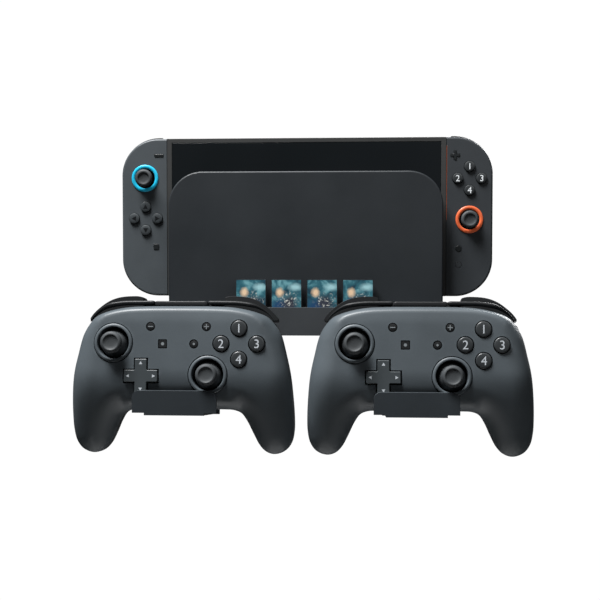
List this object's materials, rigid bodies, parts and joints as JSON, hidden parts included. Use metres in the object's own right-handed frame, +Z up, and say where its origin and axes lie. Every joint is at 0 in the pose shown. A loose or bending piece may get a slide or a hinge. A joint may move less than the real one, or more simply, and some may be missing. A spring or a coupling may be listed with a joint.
{
  "type": "docked handheld game console with gamepads on a wall holder",
  "caption": "Wall holder with a docked hybrid handheld console, small game cards in its lip and gamepads resting in hook cradles below.",
  "frame": {"origin": "centre of the four wall screw holes on the back face of the holder", "axes": "+Y into the wall, -Y out towards the player, +X to the viewer's right, +Z up"},
  "size_m": [0.3176, 0.1315, 0.2256],
  "materials": {
    "holder_plastic": "fine moulded texture, satin",
    "screw_steel": "zinc plated",
    "card_plastic": "moulded shell with a printed label",
    "circuit_board": "solder mask",
    "dock_plastic": "fine moulded texture, satin",
    "screen_glass": "polished, black behind",
    "console_plastic": "satin",
    "cyan_accent": "translucent light ring",
    "orange_accent": "translucent light ring",
    "stick_rubber": "fine texture",
    "button_plastic": "semi gloss with printed symbols",
    "key_plastic": "semi gloss",
    "side_controller_plastic": "fine moulded texture, satin",
    "gamepad_plastic": "fine moulded texture, satin"
  },
  "bodies": {
    "holder": {"wall_bracket": "holder_plastic", "left_cradle": "holder_plastic", "right_cradle": "holder_plastic", "cradle_screws": "screw_steel"},
    "dock": {"dock_housing": "dock_plastic", "dock_front_panel": "dock_plastic", "dock_rear_cover": "dock_plastic", "dock_circuit_board": "circuit_board"},
    "console": {"tablet_housing": "console_plastic", "tablet_bezel": "console_plastic", "screen_glass": "screen_glass", "tablet_internals": "circuit_board", "kickstand": "console_plastic"},
    "power_button": {"power_button": "console_plastic"},
    "volume_rocker": {"volume_rocker": "console_plastic"},
    "card_door": {"card_door": "console_plastic"},
    "game_card_1": {"game_card_1": "card_plastic"},
    "game_card_2": {"game_card_2": "card_plastic"},
    "game_card_3": {"game_card_3": "card_plastic"},
    "game_card_4": {"game_card_4": "card_plastic"},
    "left_controller": {"left_controller_front_shell": "side_controller_plastic", "left_controller_rear_shell": "side_controller_plastic", "left_controller_stick_ring": "cyan_accent"},
    "left_controller_stick": {"left_controller_stick": "stick_rubber"},
    "left_controller_buttons": {"left_controller_buttons": "button_plastic"},
    "left_controller_small_buttons": {"left_controller_small_buttons": "button_plastic"},
    "left_controller_shoulder_key": {"left_controller_shoulder_key": "key_plastic"},
    "left_controller_trigger": {"left_controller_trigger": "key_plastic"},
    "right_controller": {"right_controller_front_shell": "side_controller_plastic", "right_controller_rear_shell": "side_controller_plastic", "right_controller_stick_ring": "orange_accent"},
    "right_controller_stick": {"right_controller_stick": "stick_rubber"},
    "right_controller_buttons": {"right_controller_buttons": "button_plastic"},
    "right_controller_small_buttons": {"right_controller_small_buttons": "button_plastic"},
    "right_controller_shoulder_key": {"right_controller_shoulder_key": "key_plastic"},
    "right_controller_trigger": {"right_controller_trigger": "key_plastic"},
    "left_gamepad": {"left_gamepad_front_shell": "gamepad_plastic", "left_gamepad_rear_shell": "gamepad_plastic", "left_gamepad_internals": "circuit_board"},
    "left_gamepad_left_stick": {"left_gamepad_left_stick": "stick_rubber"},
    "left_gamepad_right_stick": {"left_gamepad_right_stick": "stick_rubber"},
    "left_gamepad_direction_pad": {"left_gamepad_direction_pad": "button_plastic"},
    "left_gamepad_buttons": {"left_gamepad_buttons": "button_plastic"},
    "left_gamepad_system_buttons": {"left_gamepad_system_buttons": "button_plastic"},
    "left_gamepad_left_bumper": {"left_gamepad_left_bumper": "key_plastic"},
    "left_gamepad_right_bumper": {"left_gamepad_right_bumper": "key_plastic"},
    "left_gamepad_left_trigger": {"left_gamepad_left_trigger": "key_plastic"},
    "left_gamepad_right_trigger": {"left_gamepad_right_trigger": "key_plastic"},
    "right_gamepad": {"right_gamepad_front_shell": "gamepad_plastic", "right_gamepad_rear_shell": "gamepad_plastic", "right_gamepad_internals": "circuit_board"},
    "right_gamepad_left_stick": {"right_gamepad_left_stick": "stick_rubber"},
    "right_gamepad_right_stick": {"right_gamepad_right_stick": "stick_rubber"},
    "right_gamepad_direction_pad": {"right_gamepad_direction_pad": "button_plastic"},
    "right_gamepad_buttons": {"right_gamepad_buttons": "button_plastic"},
    "right_gamepad_system_buttons": {"right_gamepad_system_buttons": "button_plastic"},
    "right_gamepad_left_bumper": {"right_gamepad_left_bumper": "key_plastic"},
    "right_gamepad_right_bumper": {"right_gamepad_right_bumper": "key_plastic"},
    "right_gamepad_left_trigger": {"right_gamepad_left_trigger": "key_plastic"},
    "right_gamepad_right_trigger": {"right_gamepad_right_trigger": "key_plastic"}
  },
  "joints": [
    {"name": "dock_lift", "type": "slide", "parent": "holder", "child": "dock", "axis": [0, 0, 1], "range_m": [0, 0.06]},
    {"name": "console_lift", "type": "slide", "parent": "dock", "child": "console", "axis": [0, 0, 1], "range_m": [0, 0.125]},
    {"name": "card_1_lift", "type": "slide", "parent": "holder", "child": "game_card_1", "axis": [0, 0, 1], "range_m": [0, 0.022]},
    {"name": "card_2_lift", "type": "slide", "parent": "holder", "child": "game_card_2", "axis": [0, 0, 1], "range_m": [0, 0.022]},
    {"name": "card_3_lift", "type": "slide", "parent": "holder", "child": "game_card_3", "axis": [0, 0, 1], "range_m": [0, 0.022]},
    {"name": "card_4_lift", "type": "slide", "parent": "holder", "child": "game_card_4", "axis": [0, 0, 1], "range_m": [0, 0.022]},
    {"name": "power_press", "type": "slide", "parent": "console", "child": "power_button", "axis": [0, 0, -1], "range_m": [0, 0.0004], "stiffness_N_per_m": 900},
    {"name": "volume_rock", "type": "hinge", "parent": "console", "child": "volume_rocker", "pos_m": [-0.067, -0.036, 0.085], "axis": [0, 1, 0], "range_deg": [-1.5, 1.5], "stiffness_Nm_per_rad": 0.15},
    {"name": "card_door_hinge", "type": "hinge", "parent": "console", "child": "card_door", "pos_m": [0.082, -0.03345, 0.08845], "axis": [-1, 0, 0], "range_deg": [0, 85]},
    {"name": "left_controller_release", "type": "slide", "parent": "console", "child": "left_controller", "axis": [-1, 0, 0], "range_m": [0, 0.03]},
    {"name": "left_controller_stick_tilt", "type": "hinge", "parent": "left_controller", "child": "left_controller_stick", "pos_m": [-0.1191, -0.0376, 0.0599], "axis": [1, 0, 0], "range_deg": [-16, 16], "stiffness_Nm_per_rad": 0.05},
    {"name": "left_controller_buttons_press", "type": "slide", "parent": "left_controller", "child": "left_controller_buttons", "axis": [0, 1, 0], "range_m": [0, 0.0009], "stiffness_N_per_m": 600},
    {"name": "left_controller_small_buttons_press", "type": "slide", "parent": "left_controller", "child": "left_controller_small_buttons", "axis": [0, 1, 0], "range_m": [0, 0.0003], "stiffness_N_per_m": 600},
    {"name": "left_controller_shoulder_key_press", "type": "slide", "parent": "left_controller", "child": "left_controller_shoulder_key", "axis": [0.5, 0, -0.866], "range_m": [0, 0.0006], "stiffness_N_per_m": 500},
    {"name": "left_controller_trigger_press", "type": "slide", "parent": "left_controller", "child": "left_controller_trigger", "axis": [0.5, 0, -0.866], "range_m": [0, 0.0008], "stiffness_N_per_m": 500},
    {"name": "right_controller_release", "type": "slide", "parent": "console", "child": "right_controller", "axis": [1, 0, 0], "range_m": [0, 0.03]},
    {"name": "right_controller_stick_tilt", "type": "hinge", "parent": "right_controller", "child": "right_controller_stick", "pos_m": [0.1195, -0.0376, 0.029], "axis": [1, 0, 0], "range_deg": [-16, 16], "stiffness_Nm_per_rad": 0.05},
    {"name": "right_controller_buttons_press", "type": "slide", "parent": "right_controller", "child": "right_controller_buttons", "axis": [0, 1, 0], "range_m": [0, 0.0009], "stiffness_N_per_m": 600},
    {"name": "right_controller_small_buttons_press", "type": "slide", "parent": "right_controller", "child": "right_controller_small_buttons", "axis": [0, 1, 0], "range_m": [0, 0.0003], "stiffness_N_per_m": 600},
    {"name": "right_controller_shoulder_key_press", "type": "slide", "parent": "right_controller", "child": "right_controller_shoulder_key", "axis": [-0.5, 0, -0.866], "range_m": [0, 0.0006], "stiffness_N_per_m": 500},
    {"name": "right_controller_trigger_press", "type": "slide", "parent": "right_controller", "child": "right_controller_trigger", "axis": [-0.5, 0, -0.866], "range_m": [0, 0.0008], "stiffness_N_per_m": 500},
    {"name": "left_gamepad_lift", "type": "slide", "parent": "holder", "child": "left_gamepad", "axis": [0, 0, 1], "range_m": [0, 0.03]},
    {"name": "left_gamepad_left_stick_tilt", "type": "hinge", "parent": "left_gamepad", "child": "left_gamepad_left_stick", "pos_m": [-0.1258, -0.11214, -0.05711], "axis": [1, 0, 0], "range_deg": [-18, 18], "stiffness_Nm_per_rad": 0.08},
    {"name": "left_gamepad_right_stick_tilt", "type": "hinge", "parent": "left_gamepad", "child": "left_gamepad_right_stick", "pos_m": [-0.0613, -0.11475, -0.07835], "axis": [0, 0.1219, 0.9925], "range_deg": [-18, 18], "stiffness_Nm_per_rad": 0.08},
    {"name": "left_gamepad_direction_pad_rock", "type": "hinge", "parent": "left_gamepad", "child": "left_gamepad_direction_pad", "pos_m": [-0.1066, -0.11744, -0.07893], "axis": [1, 0, 0], "range_deg": [-3, 3], "stiffness_Nm_per_rad": 0.3},
    {"name": "left_gamepad_buttons_press", "type": "slide", "parent": "left_gamepad", "child": "left_gamepad_buttons", "axis": [0, 0.9925, -0.1219], "range_m": [0, 0.0012], "stiffness_N_per_m": 600},
    {"name": "left_gamepad_system_buttons_press", "type": "slide", "parent": "left_gamepad", "child": "left_gamepad_system_buttons", "axis": [0, 0.9925, -0.1219], "range_m": [0, 0.0005], "stiffness_N_per_m": 600},
    {"name": "left_gamepad_left_bumper_press", "type": "slide", "parent": "left_gamepad", "child": "left_gamepad_left_bumper", "axis": [0, -0.1219, -0.9925], "range_m": [0, 0.0008], "stiffness_N_per_m": 500},
    {"name": "left_gamepad_left_trigger_pull", "type": "hinge", "parent": "left_gamepad", "child": "left_gamepad_left_trigger", "pos_m": [-0.0815, -0.09388, -0.03477], "axis": [-1, 0, 0], "range_deg": [0, 5], "stiffness_Nm_per_rad": 0.6},
    {"name": "left_gamepad_right_bumper_press", "type": "slide", "parent": "left_gamepad", "child": "left_gamepad_right_bumper", "axis": [0, -0.1219, -0.9925], "range_m": [0, 0.0008], "stiffness_N_per_m": 500},
    {"name": "left_gamepad_right_trigger_pull", "type": "hinge", "parent": "left_gamepad", "child": "left_gamepad_right_trigger", "pos_m": [-0.0815, -0.09388, -0.03477], "axis": [-1, 0, 0], "range_deg": [0, 5], "stiffness_Nm_per_rad": 0.6},
    {"name": "right_gamepad_lift", "type": "slide", "parent": "holder", "child": "right_gamepad", "axis": [0, 0, 1], "range_m": [0, 0.03]},
    {"name": "right_gamepad_left_stick_tilt", "type": "hinge", "parent": "right_gamepad", "child": "right_gamepad_left_stick", "pos_m": [0.0372, -0.11214, -0.05711], "axis": [1, 0, 0], "range_deg": [-18, 18], "stiffness_Nm_per_rad": 0.08},
    {"name": "right_gamepad_right_stick_tilt", "type": "hinge", "parent": "right_gamepad", "child": "right_gamepad_right_stick", "pos_m": [0.1017, -0.11475, -0.07835], "axis": [0, 0.1219, 0.9925], "range_deg": [-18, 18], "stiffness_Nm_per_rad": 0.08},
    {"name": "right_gamepad_direction_pad_rock", "type": "hinge", "parent": "right_gamepad", "child": "right_gamepad_direction_pad", "pos_m": [0.0564, -0.11744, -0.07893], "axis": [1, 0, 0], "range_deg": [-3, 3], "stiffness_Nm_per_rad": 0.3},
    {"name": "right_gamepad_buttons_press", "type": "slide", "parent": "right_gamepad", "child": "right_gamepad_buttons", "axis": [0, 0.9925, -0.1219], "range_m": [0, 0.0012], "stiffness_N_per_m": 600},
    {"name": "right_gamepad_system_buttons_press", "type": "slide", "parent": "right_gamepad", "child": "right_gamepad_system_buttons", "axis": [0, 0.9925, -0.1219], "range_m": [0, 0.0005], "stiffness_N_per_m": 600},
    {"name": "right_gamepad_left_bumper_press", "type": "slide", "parent": "right_gamepad", "child": "right_gamepad_left_bumper", "axis": [0, -0.1219, -0.9925], "range_m": [0, 0.0008], "stiffness_N_per_m": 500},
    {"name": "right_gamepad_left_trigger_pull", "type": "hinge", "parent": "right_gamepad", "child": "right_gamepad_left_trigger", "pos_m": [0.0815, -0.09388, -0.03477], "axis": [-1, 0, 0], "range_deg": [0, 5], "stiffness_Nm_per_rad": 0.6},
    {"name": "right_gamepad_right_bumper_press", "type": "slide", "parent": "right_gamepad", "child": "right_gamepad_right_bumper", "axis": [0, -0.1219, -0.9925], "range_m": [0, 0.0008], "stiffness_N_per_m": 500},
    {"name": "right_gamepad_right_trigger_pull", "type": "hinge", "parent": "right_gamepad", "child": "right_gamepad_right_trigger", "pos_m": [0.0815, -0.09388, -0.03477], "axis": [-1, 0, 0], "range_deg": [0, 5], "stiffness_Nm_per_rad": 0.6}
  ]
}
